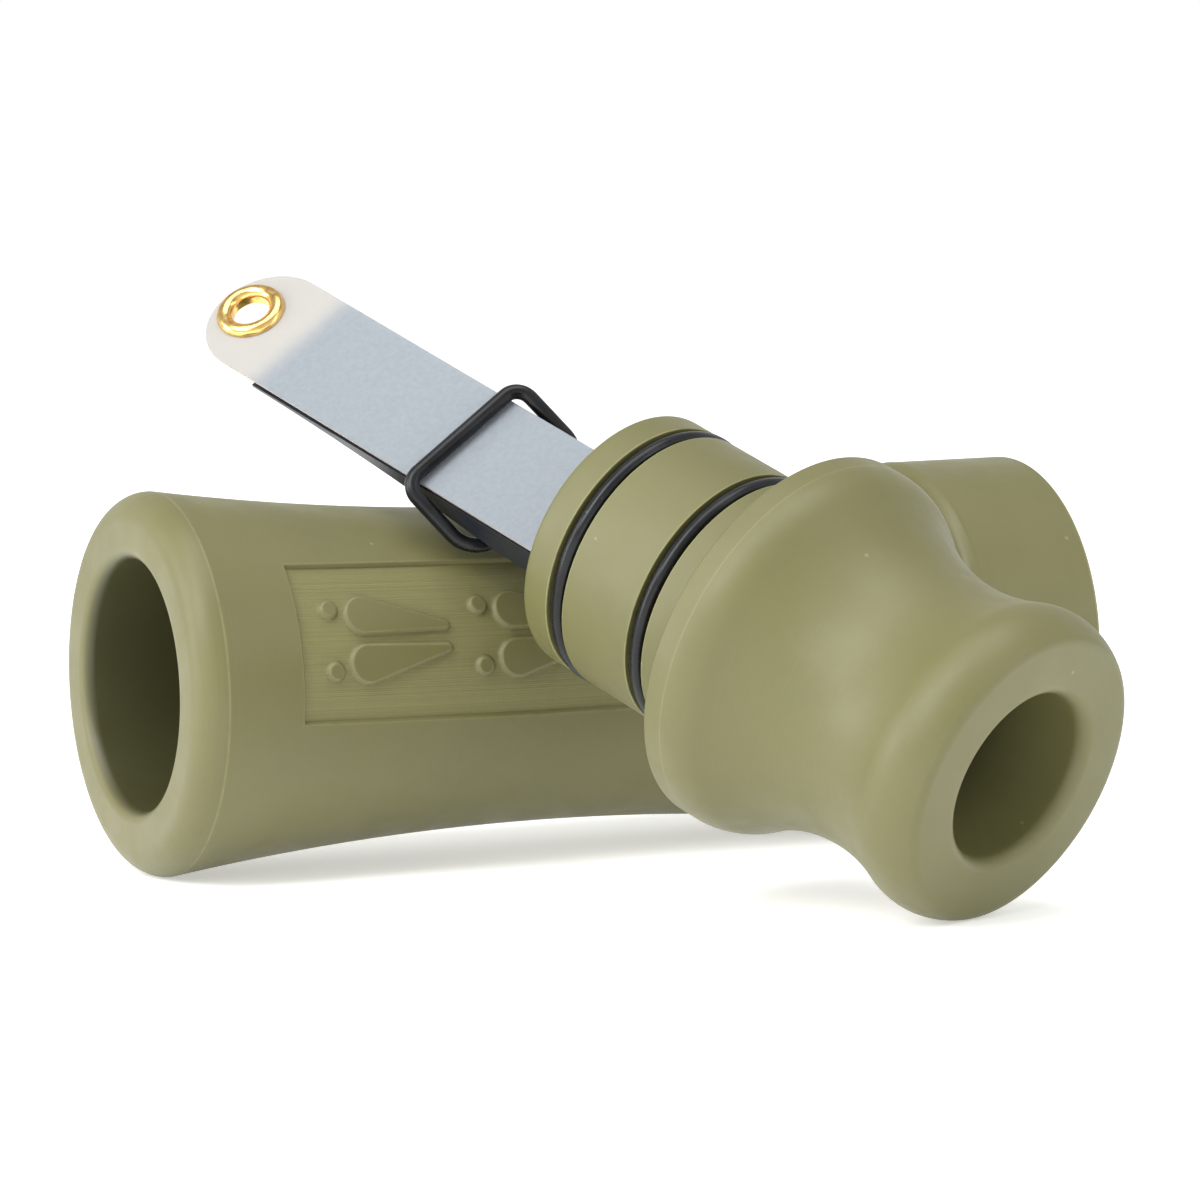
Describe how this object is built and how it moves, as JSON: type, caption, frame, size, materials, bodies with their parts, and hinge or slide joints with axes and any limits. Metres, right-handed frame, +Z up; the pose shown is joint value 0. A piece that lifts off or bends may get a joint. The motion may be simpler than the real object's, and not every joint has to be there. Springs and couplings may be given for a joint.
{
  "type": "grunt tube call",
  "caption": "Deer grunt call: waisted resonator barrel, and its voiced insert with flared mouthpiece, reed, toneboard and seals, leaning on it.",
  "frame": {"origin": "middle of the whole object's bounding box, on the ground plane", "axes": "+X along the barrel's axis, from its bell to its socket; +Z up; the insert's mouth points towards -Y"},
  "size_m": [0.1186, 0.1208, 0.0691],
  "materials": {
    "olive_polymer": "satin, fine machined grain",
    "black_rubber": "satin",
    "black_polymer": "satin, moulded",
    "frosted_film": "frosted, translucent",
    "brass": "bright, rolled"
  },
  "bodies": {
    "barrel": {"barrel": "olive_polymer"},
    "insert": {"mouthpiece": "olive_polymer", "plug_oring_front": "black_rubber", "plug_oring_rear": "black_rubber"},
    "toneboard": {"toneboard": "black_polymer", "reed_wedge": "black_polymer"},
    "reed": {"reed": "frosted_film", "eyelet": "brass"},
    "tuning_ring": {"tuning_ring": "black_rubber"}
  },
  "joints": [
    {"name": "insert_tip_up", "type": "hinge", "parent": "barrel", "child": "insert", "pos_m": [0.00698, -0.04446, 0.00236], "axis": [0.9293, 0.3693, 0], "range_deg": [0, 67.55]},
    {"name": "toneboard_pull", "type": "slide", "parent": "insert", "child": "toneboard", "axis": [-0.3413, 0.8589, 0.3819], "range_m": [0, 0.005]},
    {"name": "reed_flex", "type": "hinge", "parent": "toneboard", "child": "reed", "pos_m": [-0.00464, -0.01634, 0.03225], "axis": [-0.8085, -0.061, -0.5854], "range_deg": [0, 0.5], "stiffness_Nm_per_rad": 0.08, "springref_deg": -1.15},
    {"name": "tuning_ring_slide", "type": "slide", "parent": "toneboard", "child": "tuning_ring", "axis": [-0.3413, 0.8589, 0.3819], "range_m": [0, 0.024]}
  ]
}
